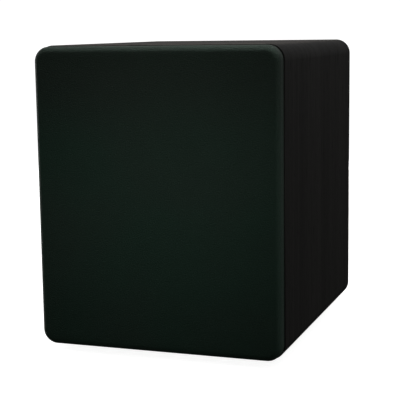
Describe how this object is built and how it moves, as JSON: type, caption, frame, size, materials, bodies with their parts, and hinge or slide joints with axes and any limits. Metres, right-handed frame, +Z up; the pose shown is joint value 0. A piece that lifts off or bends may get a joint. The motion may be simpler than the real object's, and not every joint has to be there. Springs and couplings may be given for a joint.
{
  "type": "powered subwoofer",
  "caption": "Box subwoofer with a black wood-grain wrapped cabinet, a full-height dark cloth grille, a front driver and port, and a rear amplifier plate.",
  "frame": {"origin": "on the standing surface, under the middle of the whole object's width and depth", "axes": "+X to the right seen from the front, +Y from the grille to the rear, +Z up"},
  "size_m": [0.336, 0.429, 0.408],
  "materials": {
    "woodgrain_vinyl": "black wood-grain vinyl wrap, satin",
    "black_board": "black painted board, matt",
    "raw_board": "bare fibreboard",
    "grille_fabric": "very dark green-black acoustic knit",
    "black_moulding": "moulded, fine texture",
    "gloss_moulding": "moulded, polished",
    "black_felt": "pressed felt",
    "black_rubber": "moulded rubber, satin",
    "black_foam": "closed-cell foam",
    "painted_steel": "black powder coat",
    "bright_steel": "zinc plated",
    "black_screw": "black oxide",
    "cone_paper": "pressed pulp, black",
    "coil_copper": "enamelled wire",
    "spider_cloth": "resin-dipped woven cotton",
    "ferrite": "sintered, dull",
    "fin_aluminium": "black anodised",
    "nickel": "bright plated",
    "pin_brass": "bright",
    "jack_insulator": "red, white and black rings",
    "red_moulding": "moulded, red",
    "lamp_lens": "translucent, green",
    "board_green": "solder mask",
    "capacitor_sleeve": "shrunk sleeve",
    "toroid_winding": "wound and taped",
    "fuse_glass": "clear tube",
    "lead_jacket": "red and black insulated wire"
  },
  "bodies": {
    "cabinet": {"amp_plate": "painted_steel", "amp_screws": "black_screw", "board_pillars": "pin_brass", "cabinet_shell": "woodgrain_vinyl", "control_pots": "bright_steel", "damping_lining": "black_felt", "driver_basket": "painted_steel", "driver_screws": "black_screw", "driver_terminals": "pin_brass", "filter_capacitors": "capacitor_sleeve", "foot_screws": "bright_steel", "front_baffle": "black_board", "grille_sockets": "black_moulding", "heat_sink": "fin_aluminium", "inlet_pins": "nickel", "input_housing": "black_moulding", "jack_insulators": "jack_insulator", "line_jacks": "nickel", "main_board": "board_green", "mains_inlet": "black_moulding", "output_transistors": "black_moulding", "panel_cleats": "raw_board", "pole_plate": "bright_steel", "port_flares": "black_moulding", "port_tube": "black_moulding", "rear_panel": "black_board", "ring_magnet": "ferrite", "rocker_housing": "black_moulding", "rubber_feet": "black_rubber", "sealing_gaskets": "black_foam", "speaker_leads": "lead_jacket", "spider": "spider_cloth", "status_lamp": "lamp_lens", "surround": "black_rubber", "switch_bodies": "bright_steel", "top_plate": "bright_steel", "toroid": "toroid_winding", "toroid_fixings": "bright_steel", "toroid_pads": "black_rubber", "trim_ring": "black_rubber", "window_brace": "raw_board"},
    "grille": {"grille_frame": "black_moulding", "grille_cloth": "grille_fabric", "grille_pegs": "black_moulding"},
    "cone": {"driver_cone": "cone_paper", "dust_cap": "cone_paper", "voice_coil": "coil_copper"},
    "level_control": {"level_shaft": "black_moulding", "level_knob": "black_moulding"},
    "crossover_control": {"crossover_shaft": "black_moulding", "crossover_knob": "black_moulding"},
    "phase_switch": {"phase_lever": "gloss_moulding"},
    "auto_switch": {"auto_lever": "gloss_moulding"},
    "clip_1": {"clip_lever_1": "red_moulding"},
    "clip_2": {"clip_lever_2": "gloss_moulding"},
    "clip_3": {"clip_lever_3": "red_moulding"},
    "clip_4": {"clip_lever_4": "gloss_moulding"},
    "fuse_tray": {"fuse_drawer": "black_moulding", "fuse": "fuse_glass"},
    "power_switch": {"power_rocker": "gloss_moulding"}
  },
  "joints": [
    {"name": "grille_pull", "type": "slide", "parent": "cabinet", "child": "grille", "axis": [0, -1, 0], "range_m": [0, 0.025]},
    {"name": "cone_excursion", "type": "slide", "parent": "cabinet", "child": "cone", "axis": [0, -1, 0], "range_m": [-0.009, 0.009], "stiffness_N_per_m": 1800, "deforming": ["surround", "spider"]},
    {"name": "level_turn", "type": "hinge", "parent": "cabinet", "child": "level_control", "pos_m": [0.065, 0.1905, 0.298], "axis": [0, 1, 0], "range_deg": [-150, 150]},
    {"name": "crossover_turn", "type": "hinge", "parent": "cabinet", "child": "crossover_control", "pos_m": [0.02, 0.1905, 0.298], "axis": [0, 1, 0], "range_deg": [-150, 150]},
    {"name": "phase_slide", "type": "slide", "parent": "cabinet", "child": "phase_switch", "axis": [-1, 0, 0], "range_m": [0, 0.005]},
    {"name": "auto_slide", "type": "slide", "parent": "cabinet", "child": "auto_switch", "axis": [-1, 0, 0], "range_m": [-0.004, 0.004]},
    {"name": "clip_press_1", "type": "hinge", "parent": "cabinet", "child": "clip_1", "pos_m": [-0.011, 0.1885, 0.263], "axis": [-1, 0, 0], "range_deg": [0, 14], "stiffness_Nm_per_rad": 0.1},
    {"name": "clip_press_2", "type": "hinge", "parent": "cabinet", "child": "clip_2", "pos_m": [-0.029, 0.1885, 0.263], "axis": [-1, 0, 0], "range_deg": [0, 14], "stiffness_Nm_per_rad": 0.1},
    {"name": "clip_press_3", "type": "hinge", "parent": "cabinet", "child": "clip_3", "pos_m": [-0.047, 0.1885, 0.263], "axis": [-1, 0, 0], "range_deg": [0, 14], "stiffness_Nm_per_rad": 0.1},
    {"name": "clip_press_4", "type": "hinge", "parent": "cabinet", "child": "clip_4", "pos_m": [-0.065, 0.1885, 0.263], "axis": [-1, 0, 0], "range_deg": [0, 14], "stiffness_Nm_per_rad": 0.1},
    {"name": "fuse_slide", "type": "slide", "parent": "cabinet", "child": "fuse_tray", "axis": [0, 1, 0], "range_m": [0, 0.014]},
    {"name": "power_rock", "type": "hinge", "parent": "cabinet", "child": "power_switch", "pos_m": [-0.045, 0.1875, 0.117], "axis": [-1, 0, 0], "range_deg": [0, 20]}
  ]
}
